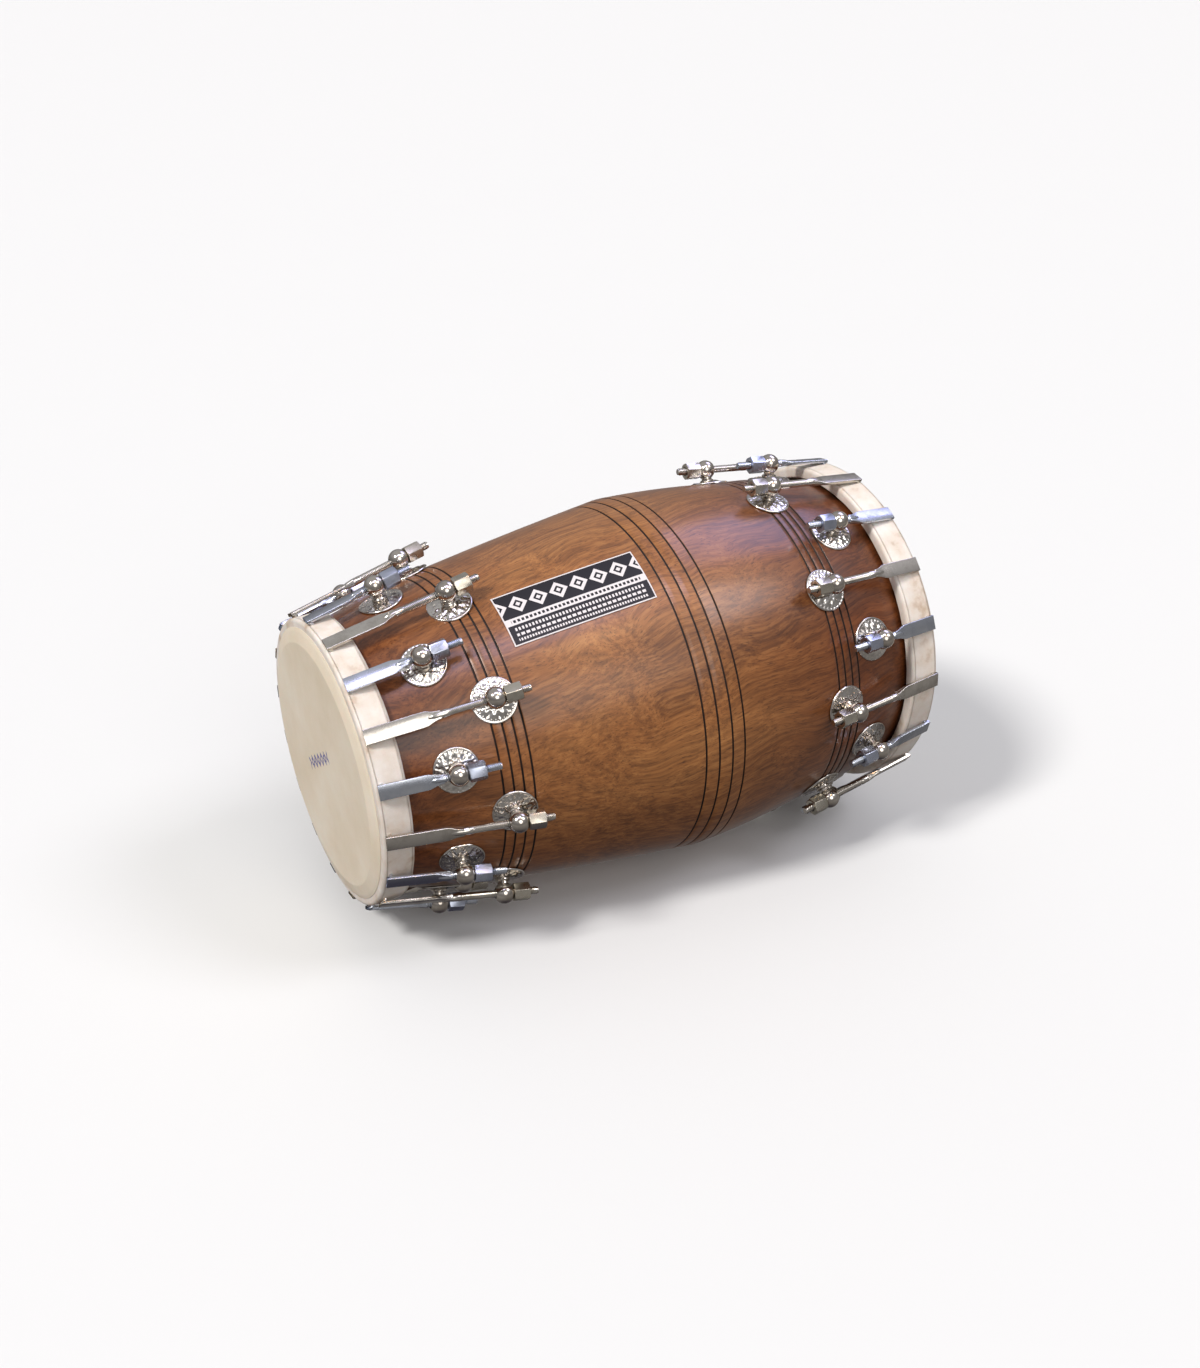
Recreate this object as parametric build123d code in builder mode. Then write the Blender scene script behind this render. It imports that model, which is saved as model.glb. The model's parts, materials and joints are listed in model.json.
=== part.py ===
from build123d import *
import os
from math import asin, atan2, cos, degrees, hypot, pi, radians, sin, sqrt

# A two-headed barrel drum with bolt tuning (a dholak of the naal kind).
# The drum lies on its side. +X runs along its axis from the small treble head to the large
# bass head, +Z is up, and -Y is the side that shows the maker's plate. The origin is the
# centre of the treble head's playing face. All sizes are millimetres.

# Shell. Its outline is four arcs that meet in a groove of each band and on the belly
DRUM_LENGTH = 482.0             # between the two playing faces
TREBLE_RIM_RADIUS = 97.5
TREBLE_FLANK = (60.0, 115.3)    # depth from the treble face, radius
TREBLE_SHOULDER = (119.0, 127.0)
TREBLE_WAIST = (200.0, 138.6)
BELLY = (276.5, 148.0)
BASS_WAIST = (147.0, 144.2)     # depth from the bass face, radius
BASS_SHOULDER = (100.0, 138.0)
BASS_FLANK = (46.0, 130.4)
BASS_RIM_RADIUS = 115.5
SHELL_WALL = 14.0
RIM_ROUND = 4.0
GROOVE_WIDTH = 1.6
GROOVE_DEPTH = 1.3
GROOVES_PER_BAND = 4
TREBLE_BAND_WIDTH = 23.0        # from its first groove to its last
BELLY_BAND_WIDTH = 33.0
BASS_BAND_WIDTH = 20.5

# Heads: hide, hoop and folded collar
HIDE_THICKNESS = 1.4
HIDE_RIM_SET_IN = 1.2           # the flat of the hide ends this far inside the rim
HIDE_SLOPE_DROP = 2.2
TREBLE_COLLAR_RADIUS = 114.0
BASS_COLLAR_RADIUS = 137.5
COLLAR_LIP = 9.0                # radial width of the collar's top
COLLAR_LENGTH = 24.5
COLLAR_CLEARANCE = 2.2          # to the shell, at the collar's inner end
COLLAR_HIDE_GAP = 0.8
HOOP_THICKNESS = 5.2
HOOP_HEIGHT = 7.0
HOOP_CLEARANCE = 0.3
FOLD_THICKNESS = 2.0
PASTE_RADIUS = 46.0
PASTE_THICKNESS = 3.0

# Tension hooks: a flat strip, bent over the hoop, that becomes a round threaded rod
HOOKS_PER_HEAD = 18
TREBLE_FIRST_ANGLE = 115.5      # of hook 1, from -Y towards +Z
BASS_FIRST_ANGLE = 120.0
HOOK_SET_BACK = 1.0             # hook tops stand below the playing face
STRIP_WIDTH = 11.5
STRIP_THICKNESS = 2.6
STRIP_CLEARANCE = 0.4           # above the collar
HOOK_LIP = 7.0
HOOK_BEND_RADIUS = 3.4
TAPER_LENGTH = 13.0
ROD_RADIUS = 3.1
SHORT_ROD_BARE = 2.8            # round rod between the taper and the eye bolt's ball
LONG_ROD_BARE = 32.8
SHORT_ROD_PAST_NUT = 11.5
LONG_ROD_PAST_NUT = 7.0

# Eye bolts, each through a rosette and the shell's wall
TREBLE_SHORT_FOOT = 65.0        # from the treble face
TREBLE_LONG_FOOT = 103.0
BASS_SHORT_FOOT = 62.0          # from the bass face
BASS_LONG_FOOT = 94.0
BALL_STAND_OFF = 14.0           # ball centre above the shell
BALL_RADIUS = 8.2
BALL_SEAT_RADIUS = 5.3          # of the flat that the tuning nut seats on
EYE_HOLE_RADIUS = 3.9
NECK_RADIUS = 4.2
BASE_RADIUS = 6.0
BASE_THICKNESS = 2.1
SHANK_RADIUS = 3.0
SHANK_CLEARANCE = 0.3
ROSETTE_RADIUS = 17.5
ROSETTE_CROWN = 3.0
ROSETTE_RIM = 1.2
ROSETTE_SKIRT = 2.2
BEDDING_GAP = 0.3               # between the shell and what is bedded on it
WASHER_RADIUS = 8.5
WASHER_THICKNESS = 1.5
SPOT_FACE_CLEARANCE = 0.7
SPOT_FACE_DEPTH = 1.6
INNER_NUT_FLATS = 10.0
INNER_NUT_HEIGHT = 5.0
SHANK_PAST_NUT = 2.0

# Tuning nuts
NUT_FLATS = 12.8
NUT_LENGTH = 13.0
NUT_BORE_RADIUS = 3.65
NUT_SEAT_GAP = 0.35
NUT_CHAMFER = 1.0
NUT_TURN = 23.0                 # each nut was left a little further round than the last

# Maker's plate, bent to the shell
PLATE_DEPTH = 188.5             # its middle, from the treble face
PLATE_ANGLE = 60.4              # its middle, from -Y towards +Z
PLATE_LENGTH = 115.0
PLATE_WIDTH = 46.0
PLATE_THICKNESS = 0.6
PLATE_CORNER = 1.5

CUT = 400.0                     # longer than anything it cuts


def outline_arcs(extra):
    """The shell's outline, from treble to bass, moved out by extra."""
    def treble(point):
        return (point[0], point[1] + extra)

    def bass(point):
        return (DRUM_LENGTH - point[0], point[1] + extra)

    return [
        ThreePointArc(treble((0, TREBLE_RIM_RADIUS)), treble(TREBLE_FLANK),
                      treble(TREBLE_SHOULDER)),
        ThreePointArc(treble(TREBLE_SHOULDER), treble(TREBLE_WAIST), treble(BELLY)),
        ThreePointArc(treble(BELLY), bass(BASS_WAIST), bass(BASS_SHOULDER)),
        ThreePointArc(bass(BASS_SHOULDER), bass(BASS_FLANK), bass((0, BASS_RIM_RADIUS))),
    ]


OUTLINE = outline_arcs(0)


def shell_radius(place):
    """Outer radius of the shell at a place along X, found by halving along an arc."""
    arc = next((arc for arc in OUTLINE if (arc @ 1).X >= place), OUTLINE[-1])
    low, high = 0.0, 1.0
    for _ in range(40):
        middle = (low + high) / 2
        if (arc @ middle).X < place:
            low = middle
        else:
            high = middle
    return (arc @ low).Y


def turned_layer(low, high):
    """A layer all round the shell, from low to high above its surface."""
    with BuildPart() as turned:
        with BuildSketch(Plane.XY):
            with BuildLine():
                inner = outline_arcs(low)
                outer = outline_arcs(high)
                Line(inner[0] @ 0, outer[0] @ 0)
                Line(inner[-1] @ 1, outer[-1] @ 1)
            make_face()
        revolve(axis=Axis.X)
    return turned.part


def save(builder, name):
    """Label a finished piece and write it."""
    builder.part.label = name
    export_step(builder.part, f"parts/{name}.step")


class End:
    """One end of the drum. Depths are measured from its playing face, towards the middle."""

    def __init__(self, name, face, inward, rim_radius, collar_radius, first_angle):
        self.name = name
        self.face = face
        self.inward = inward
        self.rim_radius = rim_radius
        self.collar_radius = collar_radius
        self.first_angle = first_angle
        # Looking along this plane's normal is looking from the face into the drum
        self.plane = Plane(origin=(face, 0, 0), x_dir=(0, -1, 0), z_dir=(inward, 0, 0))

    def shell_radius(self, depth):
        return shell_radius(self.face + self.inward * depth)

    def angle(self, number):
        """Angle of a hook from -Y towards +Z. Number 0 is the first hook."""
        return self.first_angle - number * 360 / HOOKS_PER_HEAD


class Row:
    """Every second hook of an end, with its eye bolts and nuts. Rows are short or long."""

    def __init__(self, end, kind, first, foot, rod_bare, rod_past_nut):
        self.end = end
        self.name = f"{end.name}_{kind}"
        self.numbers = range(first, HOOKS_PER_HEAD, 2)
        self.rod_bare = rod_bare
        self.rod_past_nut = rod_past_nut
        # In the plane through the drum's axis, the rod's line starts at the hook's corner
        # and passes one stand-off above the eye bolt's foot on the shell
        corner_depth = HOOK_SET_BACK + STRIP_THICKNESS / 2
        corner_radius = end.collar_radius + STRIP_CLEARANCE + STRIP_THICKNESS / 2
        run = foot - corner_depth
        rise = end.shell_radius(foot) - corner_radius
        reach = hypot(run, rise)
        self.slope = atan2(rise, run) + asin(BALL_STAND_OFF / reach)
        self.corner_to_ball = sqrt(reach**2 - BALL_STAND_OFF**2)
        self.ball_depth = corner_depth + self.corner_to_ball * cos(self.slope)
        self.ball_radius = corner_radius + self.corner_to_ball * sin(self.slope)

    def ball_plane(self, number):
        """Origin in the ball, x along the rod away from the hook, z out along the bolt."""
        angle = radians(self.end.angle(number))
        out = Vector(0, -cos(angle), sin(angle))
        along = Vector(self.end.inward, 0, 0)
        centre = Vector(self.end.face, 0, 0) + along * self.ball_depth + out * self.ball_radius
        rod = along * cos(self.slope) + out * sin(self.slope)
        bolt = out * cos(self.slope) - along * sin(self.slope)
        return Plane(origin=centre, x_dir=rod, z_dir=bolt)

    def ball_planes(self):
        return [self.ball_plane(number) for number in self.numbers]


TREBLE = End("treble", 0.0, 1, TREBLE_RIM_RADIUS, TREBLE_COLLAR_RADIUS, TREBLE_FIRST_ANGLE)
BASS = End("bass", DRUM_LENGTH, -1, BASS_RIM_RADIUS, BASS_COLLAR_RADIUS, BASS_FIRST_ANGLE)
ENDS = (TREBLE, BASS)
ROWS = (
    Row(TREBLE, "long", 0, TREBLE_LONG_FOOT, LONG_ROD_BARE, LONG_ROD_PAST_NUT),
    Row(TREBLE, "short", 1, TREBLE_SHORT_FOOT, SHORT_ROD_BARE, SHORT_ROD_PAST_NUT),
    Row(BASS, "long", 0, BASS_LONG_FOOT, LONG_ROD_BARE, LONG_ROD_PAST_NUT),
    Row(BASS, "short", 1, BASS_SHORT_FOOT, SHORT_ROD_BARE, SHORT_ROD_PAST_NUT),
)

# The nut's flat end stands just clear of the ball, which curves away from the eye hole
BALL_SEAT = sqrt(BALL_RADIUS**2 - BALL_SEAT_RADIUS**2)
NUT_SEAT = BALL_SEAT + NUT_SEAT_GAP
WASHER_FACE = -BALL_STAND_OFF - SHELL_WALL + SPOT_FACE_DEPTH    # along the bolt, from the ball
SHANK_END = WASHER_FACE - WASHER_THICKNESS - INNER_NUT_HEIGHT - SHANK_PAST_NUT


def end_rows(end):
    return [row for row in ROWS if row.end is end]


def bolt_planes(end):
    """Ball planes of every hook of an end."""
    return [plane for row in end_rows(end) for plane in row.ball_planes()]


# ---------------------------------------------------------------- shell
def groove_places():
    """Places along X of every turned groove."""
    belly_first = BELLY[0] - BELLY_BAND_WIDTH * 2 / 3
    bass_first = DRUM_LENGTH - BASS_SHOULDER[0]
    bands = (
        (TREBLE_SHOULDER[0], -TREBLE_BAND_WIDTH),
        (belly_first, BELLY_BAND_WIDTH),
        (bass_first, BASS_BAND_WIDTH),
    )
    for first, width in bands:
        for step in range(GROOVES_PER_BAND):
            yield first + width * step / (GROOVES_PER_BAND - 1)


def build_shell():
    with BuildPart() as shell:
        with BuildSketch(Plane.XY):
            with BuildLine():
                outer = outline_arcs(0)
                inner = outline_arcs(-SHELL_WALL)
                Line(outer[0] @ 0, inner[0] @ 0)
                Line(outer[-1] @ 1, inner[-1] @ 1)
            make_face()
            # Each end is cut back by the thickness of the hide that lies on it
            for place in (0, DRUM_LENGTH):
                with Locations((place, 0)):
                    Rectangle(2 * HIDE_THICKNESS, CUT, mode=Mode.SUBTRACT)
            outer_corners = vertices().group_by(Axis.X)[0].sort_by(Axis.Y)[-1:]
            outer_corners += vertices().group_by(Axis.X)[-1].sort_by(Axis.Y)[-1:]
            fillet(outer_corners, RIM_ROUND)
            for place in groove_places():
                with Locations((place, shell_radius(place))):
                    Rectangle(GROOVE_WIDTH, 2 * GROOVE_DEPTH, mode=Mode.SUBTRACT)
        revolve(axis=Axis.X)
        planes = bolt_planes(TREBLE) + bolt_planes(BASS)
        below = (Align.CENTER, Align.CENTER, Align.MAX)
        with Locations(*[plane.location for plane in planes]):
            Cylinder(SHANK_RADIUS + SHANK_CLEARANCE, BALL_STAND_OFF + 2 * SHELL_WALL,
                     align=below, mode=Mode.SUBTRACT)
        with Locations(*[plane.offset(WASHER_FACE).location for plane in planes]):
            Cylinder(WASHER_RADIUS + SPOT_FACE_CLEARANCE, SHELL_WALL,
                     align=below, mode=Mode.SUBTRACT)
    save(shell, "shell")


# ---------------------------------------------------------------- heads
def build_hide(end):
    """Hide of one head: flat over the rim, then sloping back to the collar."""
    flat = end.rim_radius - HIDE_RIM_SET_IN
    edge = end.collar_radius - COLLAR_LIP - COLLAR_HIDE_GAP
    with BuildPart() as blank:
        with BuildSketch(Plane.XZ):
            with BuildLine():
                Polyline(
                    (0, 0),
                    (flat, 0),
                    (edge, HIDE_SLOPE_DROP),
                    (edge, HIDE_SLOPE_DROP + HIDE_THICKNESS),
                    (flat, HIDE_THICKNESS),
                    (0, HIDE_THICKNESS),
                    close=True,
                )
            make_face()
        revolve(axis=Axis.Z)
    with BuildPart(end.plane) as hide:
        add(blank.part)
    save(hide, f"{end.name}_skin")


def collar_top():
    """Depth of the collar's top, on which the hooks' lips bear."""
    return HOOK_SET_BACK + STRIP_THICKNESS


def build_hoop(end):
    """Flat-sided steel ring inside the collar's fold."""
    outer = end.collar_radius - FOLD_THICKNESS - HOOP_CLEARANCE
    with BuildPart() as blank:
        with BuildSketch(Plane.XZ):
            with Locations((outer - HOOP_THICKNESS / 2,
                            collar_top() + FOLD_THICKNESS + HOOP_HEIGHT / 2)):
                RectangleRounded(HOOP_THICKNESS, HOOP_HEIGHT, HOOP_THICKNESS / 3)
        revolve(axis=Axis.Z)
    with BuildPart(end.plane) as hoop:
        add(blank.part)
    save(hoop, f"{end.name}_hoop")


def build_collar(end):
    """Hide folded round the hoop and back along the shell, open on its inner side."""
    top = collar_top()
    bottom = top + COLLAR_LENGTH
    outer = end.collar_radius
    lip = outer - COLLAR_LIP
    fold = top + FOLD_THICKNESS
    under_hoop = fold + HOOP_HEIGHT
    hem = end.shell_radius(bottom) + COLLAR_CLEARANCE
    channel = outer - FOLD_THICKNESS
    with BuildPart() as blank:
        with BuildSketch(Plane.XZ):
            with BuildLine():
                Polyline(
                    (lip, top),
                    (outer, top),
                    (outer, bottom),
                    (hem, bottom),
                    (lip, under_hoop),
                    (channel, under_hoop),
                    (channel, fold),
                    (lip, fold),
                    close=True,
                )
            make_face()
            outer_corners = vertices().group_by(Axis.X)[-1]
            fillet(outer_corners, FOLD_THICKNESS)
        revolve(axis=Axis.Z)
    with BuildPart(end.plane) as collar:
        add(blank.part)
    save(collar, f"{end.name}_collar")


def build_tuning_paste():
    """Disc of tuning paste on the inner side of the bass hide."""
    with BuildPart(BASS.plane.offset(HIDE_THICKNESS)) as bass_tuning_paste:
        Cylinder(PASTE_RADIUS, PASTE_THICKNESS, align=(Align.CENTER, Align.CENTER, Align.MIN))
        fillet(edges().group_by(Axis.X)[0], PASTE_THICKNESS / 2)
    save(bass_tuning_paste, "bass_tuning_paste")


# ---------------------------------------------------------------- tension hooks
def build_hooks(row):
    """The row's hooks. Each is drawn with its ball's centre at the origin, rod along X."""
    corner = -row.corner_to_ball
    taper_end = -BALL_RADIUS - row.rod_bare
    strip_end = taper_end - TAPER_LENGTH
    rod_end = NUT_SEAT + NUT_LENGTH + row.rod_past_nut
    lip_end = (corner - HOOK_LIP * sin(row.slope), -HOOK_LIP * cos(row.slope))
    with BuildPart() as hook:
        with BuildLine(Plane.XZ) as path:
            FilletPolyline(lip_end, (corner, 0), (strip_end, 0), radius=HOOK_BEND_RADIUS)
        with BuildSketch(Plane(origin=path.line @ 0, x_dir=(0, 1, 0), z_dir=path.line % 0)):
            RectangleRounded(STRIP_WIDTH, STRIP_THICKNESS, STRIP_THICKNESS / 4)
        sweep()
        with BuildSketch(Plane(origin=(strip_end, 0, 0), x_dir=(0, 1, 0), z_dir=(1, 0, 0))):
            RectangleRounded(STRIP_WIDTH, STRIP_THICKNESS, STRIP_THICKNESS / 4)
        with BuildSketch(Plane(origin=(taper_end, 0, 0), x_dir=(0, 1, 0), z_dir=(1, 0, 0))):
            Circle(ROD_RADIUS)
        loft()
        with BuildSketch(Plane(origin=(taper_end, 0, 0), x_dir=(0, 1, 0), z_dir=(1, 0, 0))):
            Circle(ROD_RADIUS)
        extrude(amount=rod_end - taper_end)
        chamfer(faces().sort_by(Axis.X)[-1].edges(), ROD_RADIUS / 5)
    with BuildPart(*row.ball_planes()) as hooks:
        add(hook.part)
    save(hooks, f"{row.name}_hooks")


# ---------------------------------------------------------------- eye bolts
def build_eye_bolts(row):
    rosette_top = -BALL_STAND_OFF + ROSETTE_CROWN
    with BuildPart() as bolt:
        Sphere(BALL_RADIUS)
        with Locations((BALL_SEAT, 0, 0)):
            Box(BALL_RADIUS, 2 * BALL_RADIUS, 2 * BALL_RADIUS,
                align=(Align.MIN, Align.CENTER, Align.CENTER), mode=Mode.SUBTRACT)
        downwards = (Align.CENTER, Align.CENTER, Align.MAX)
        Cylinder(NECK_RADIUS, -rosette_top, align=downwards)
        with Locations((0, 0, rosette_top)):
            Cylinder(BASE_RADIUS, BASE_THICKNESS, align=(Align.CENTER, Align.CENTER, Align.MIN))
        chamfer(edges().filter_by(GeomType.CIRCLE).filter_by(
            lambda edge: abs(edge.radius - BASE_RADIUS) < 0.01).sort_by(Axis.Z)[-1],
            BASE_THICKNESS / 3)
        Cylinder(SHANK_RADIUS, -SHANK_END, align=downwards)
        Cylinder(EYE_HOLE_RADIUS, CUT, rotation=(0, 90, 0), mode=Mode.SUBTRACT)
    with BuildPart(*row.ball_planes()) as eye_bolts:
        add(bolt.part)
    save(eye_bolts, f"{row.name}_eye_bolts")


def build_rosettes(end):
    """Domed washers, hollowed underneath to the shell's own curve."""
    foot = -BALL_STAND_OFF
    with BuildPart() as rosette:
        with BuildSketch(Plane.XZ):
            with BuildLine():
                Polyline(
                    (SHANK_RADIUS + SHANK_CLEARANCE, foot - ROSETTE_SKIRT),
                    (SHANK_RADIUS + SHANK_CLEARANCE, foot + ROSETTE_CROWN),
                    (BASE_RADIUS + 1, foot + ROSETTE_CROWN),
                    (ROSETTE_RADIUS, foot + ROSETTE_RIM),
                    (ROSETTE_RADIUS, foot - ROSETTE_SKIRT),
                    close=True,
                )
            make_face()
        revolve(axis=Axis.Z)
    with BuildPart(*bolt_planes(end)) as placed:
        add(rosette.part)
    with BuildPart() as rosettes:
        add(placed.part)
        add(turned_layer(-SHELL_WALL, BEDDING_GAP), mode=Mode.SUBTRACT)
    save(rosettes, f"{end.name}_rosettes")


def build_inner_washers(end):
    planes = [plane.offset(WASHER_FACE) for plane in bolt_planes(end)]
    with BuildPart(*planes) as washers:
        below = (Align.CENTER, Align.CENTER, Align.MAX)
        Cylinder(WASHER_RADIUS, WASHER_THICKNESS, align=below)
        Cylinder(SHANK_RADIUS + SHANK_CLEARANCE, WASHER_THICKNESS, align=below,
                 mode=Mode.SUBTRACT)
    save(washers, f"{end.name}_inner_washers")


def build_inner_nuts(end):
    seat = WASHER_FACE - WASHER_THICKNESS
    with BuildPart() as nut:
        with BuildSketch(Plane.XY.offset(seat)):
            RegularPolygon(INNER_NUT_FLATS / 2, 6, major_radius=False)
            Circle(SHANK_RADIUS + SHANK_CLEARANCE / 3, mode=Mode.SUBTRACT)
        extrude(amount=-INNER_NUT_HEIGHT)
    with BuildPart(*bolt_planes(end)) as nuts:
        add(nut.part)
    save(nuts, f"{end.name}_inner_nuts")


# ---------------------------------------------------------------- tuning nuts
def build_tuning_nuts(row):
    """One piece for each nut, because each turns on its own rod."""
    corner_radius = NUT_FLATS / 2 / cos(pi / 6)
    with BuildPart() as envelope:
        with Locations((NUT_SEAT, 0, 0)):
            Cylinder(corner_radius, NUT_LENGTH, rotation=(0, 90, 0),
                     align=(Align.CENTER, Align.CENTER, Align.MIN))
        chamfer(edges().filter_by(GeomType.CIRCLE), NUT_CHAMFER / 2, NUT_CHAMFER)
    with BuildPart() as blank:
        with BuildSketch(Plane.YZ.offset(NUT_SEAT)):
            RegularPolygon(NUT_FLATS / 2, 6, major_radius=False)
        extrude(amount=NUT_LENGTH)
        add(envelope.part, mode=Mode.INTERSECT)
        Cylinder(NUT_BORE_RADIUS, CUT, rotation=(0, 90, 0), mode=Mode.SUBTRACT)
    for number in row.numbers:
        with BuildPart(row.ball_plane(number)) as nut:
            add(blank.part, rotation=(NUT_TURN * number, 0, 0))
        save(nut, f"{row.end.name}_nut_{number + 1:02d}")


# ---------------------------------------------------------------- maker's plate
def build_maker_plate():
    out = Vector(0, -cos(radians(PLATE_ANGLE)), sin(radians(PLATE_ANGLE)))
    face = Plane(origin=(PLATE_DEPTH, 0, 0), x_dir=(1, 0, 0), z_dir=out)
    with BuildPart() as maker_plate:
        with BuildSketch(face.offset(TREBLE_RIM_RADIUS)):
            RectangleRounded(PLATE_LENGTH, PLATE_WIDTH, PLATE_CORNER)
        extrude(amount=CUT)
        layer = turned_layer(BEDDING_GAP, BEDDING_GAP + PLATE_THICKNESS)
        add(layer, mode=Mode.INTERSECT)
    save(maker_plate, "maker_plate")


os.makedirs("parts", exist_ok=True)
build_shell()
build_tuning_paste()
build_maker_plate()
for drum_end in ENDS:
    build_hide(drum_end)
    build_hoop(drum_end)
    build_collar(drum_end)
    build_rosettes(drum_end)
    build_inner_washers(drum_end)
    build_inner_nuts(drum_end)
for hook_row in ROWS:
    build_hooks(hook_row)
    build_eye_bolts(hook_row)
    build_tuning_nuts(hook_row)
    print(hook_row.name, "rod slope", round(degrees(hook_row.slope), 2), "ball at depth",
          round(hook_row.ball_depth, 2), "radius", round(hook_row.ball_radius, 2))
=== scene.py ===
# %% [markdown]
# # A bolt-tuned barrel drum
# The drum is a hollow wooden barrel with a hide at each end. Steel hooks reach over each hide's
# hoop, and a nut on every hook draws the hoop down and tightens the hide. This lesson loads the
# drum's engineering model as a fixed frame and makes each visible piece over it.

import bpy
import bmesh
import json
from math import atan2, cos, pi, radians, sin, sqrt, tan
from mathutils import Matrix, Vector


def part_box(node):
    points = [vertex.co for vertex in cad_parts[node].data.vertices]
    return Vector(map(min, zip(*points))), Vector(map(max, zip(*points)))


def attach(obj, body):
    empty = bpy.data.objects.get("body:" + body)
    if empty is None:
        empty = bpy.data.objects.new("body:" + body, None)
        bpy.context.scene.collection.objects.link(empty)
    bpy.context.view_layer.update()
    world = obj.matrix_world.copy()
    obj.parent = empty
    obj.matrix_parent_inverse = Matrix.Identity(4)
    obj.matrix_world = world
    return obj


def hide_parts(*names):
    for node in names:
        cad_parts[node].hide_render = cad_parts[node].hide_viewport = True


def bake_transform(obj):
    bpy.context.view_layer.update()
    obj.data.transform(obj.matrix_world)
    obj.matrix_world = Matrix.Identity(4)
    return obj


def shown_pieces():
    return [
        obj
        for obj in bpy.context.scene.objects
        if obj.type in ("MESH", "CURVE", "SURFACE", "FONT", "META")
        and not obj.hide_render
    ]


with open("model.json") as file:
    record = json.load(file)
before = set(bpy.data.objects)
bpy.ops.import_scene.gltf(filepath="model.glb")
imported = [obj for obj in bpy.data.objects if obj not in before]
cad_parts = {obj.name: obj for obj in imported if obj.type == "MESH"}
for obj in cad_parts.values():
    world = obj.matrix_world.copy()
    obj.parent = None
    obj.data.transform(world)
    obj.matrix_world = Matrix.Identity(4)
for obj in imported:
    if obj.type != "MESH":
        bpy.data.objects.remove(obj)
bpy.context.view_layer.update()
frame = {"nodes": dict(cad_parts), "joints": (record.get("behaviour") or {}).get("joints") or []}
MM = 0.001
SAME_POINT = 1e-6

# %% [markdown]
# ## The camera
# The camera comes first. It stands on the treble side, a little above, and is rolled slightly
# because the drum lies with its small head lower than its large one.

# %% Camera
CAMERA_PLACE = Vector((-0.3120, -1.0867, 0.6452))
CAMERA_AIM = Vector((0.2412, 0.0009, 0.0))
CAMERA_ROLL = radians(-2.71)
LENS = 44.2

camera_data = bpy.data.cameras.new("camera")
camera_data.lens = LENS
camera_data.sensor_width = 36
camera_data.clip_end = 50
camera = bpy.data.objects.new("camera", camera_data)
bpy.context.scene.collection.objects.link(camera)
camera.rotation_mode = "QUATERNION"
looking = (CAMERA_AIM - CAMERA_PLACE).to_track_quat("-Z", "Y")
camera.rotation_quaternion = looking @ Matrix.Rotation(CAMERA_ROLL, 3, "Z").to_quaternion()
camera.location = CAMERA_PLACE
bpy.context.scene.camera = camera
print("camera at", tuple(CAMERA_PLACE), "lens", LENS)

# %% [markdown]
# ## Helpers for modelling
# An operator works on everything that is selected, so a piece is always started with nothing
# selected. A turned piece is made as on a lathe: its outline is drawn point by point with
# extrude, and spin sweeps the outline round the axis. Edit mode remembers whether it last
# selected points or faces, so a helper sets it back to points before an outline is drawn.


# %% Start, finish and turn a piece
def deselect():
    if bpy.context.mode != "OBJECT":
        bpy.ops.object.mode_set(mode="OBJECT")
    bpy.ops.object.select_all(action="DESELECT")


def named(name):
    """Name the active object and return it."""
    piece = bpy.context.active_object
    piece.name = name
    piece.data.name = name
    return piece


def choose(pieces):
    """Select these objects only. The first becomes active."""
    deselect()
    for piece in pieces:
        piece.select_set(True)
    bpy.context.view_layer.objects.active = pieces[0]


def apply_modifier(piece, kind, **settings):
    """Add a modifier, set it and apply it."""
    modifier = piece.modifiers.new(kind.title(), kind)
    for key, value in settings.items():
        setattr(modifier, key, value)
    choose([piece])
    bpy.ops.object.modifier_apply(modifier=modifier.name)


def edit_vertices():
    bpy.ops.object.mode_set(mode="EDIT")
    bpy.ops.mesh.select_mode(type="VERT")


def settle(piece, matrix=None):
    """Put a piece at its place and leave its object at the origin."""
    if matrix is not None:
        piece.matrix_world = matrix
    choose([piece])
    bpy.ops.object.transform_apply(location=True, rotation=True, scale=True)


def draw_line(places):
    """Draw a line point by point, and stay in edit mode."""
    deselect()
    bpy.ops.mesh.primitive_plane_add(size=MM, location=places[0])
    edit_vertices()
    bpy.ops.mesh.merge(type="CENTER")
    for before, after in zip(places, places[1:]):
        step = Vector(after) - Vector(before)
        bpy.ops.mesh.extrude_vertices_move(TRANSFORM_OT_translate={"value": step})


def turned(name, outline, steps, axis="X"):
    """A piece turned about X or Z. The outline is (place along the axis, radius) points."""
    draw_line([(along, radius, 0) if axis == "X" else (radius, 0, along)
               for along, radius in outline])
    bpy.ops.mesh.select_all(action="SELECT")
    direction = (1, 0, 0) if axis == "X" else (0, 0, 1)
    bpy.ops.mesh.spin(steps=steps, angle=2 * pi, center=(0, 0, 0), axis=direction)
    bpy.ops.mesh.select_all(action="SELECT")
    bpy.ops.mesh.remove_doubles(threshold=SAME_POINT)
    bpy.ops.mesh.normals_make_consistent(inside=False)
    bpy.ops.object.mode_set(mode="OBJECT")
    piece = named(name)
    settle(piece)
    bpy.ops.object.shade_smooth()
    return piece


def smooth_by_angle(piece, angle):
    """Smooth shading that keeps edges sharper than an angle in degrees."""
    choose([piece])
    bpy.ops.object.shade_smooth_by_angle(angle=radians(angle))


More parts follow.
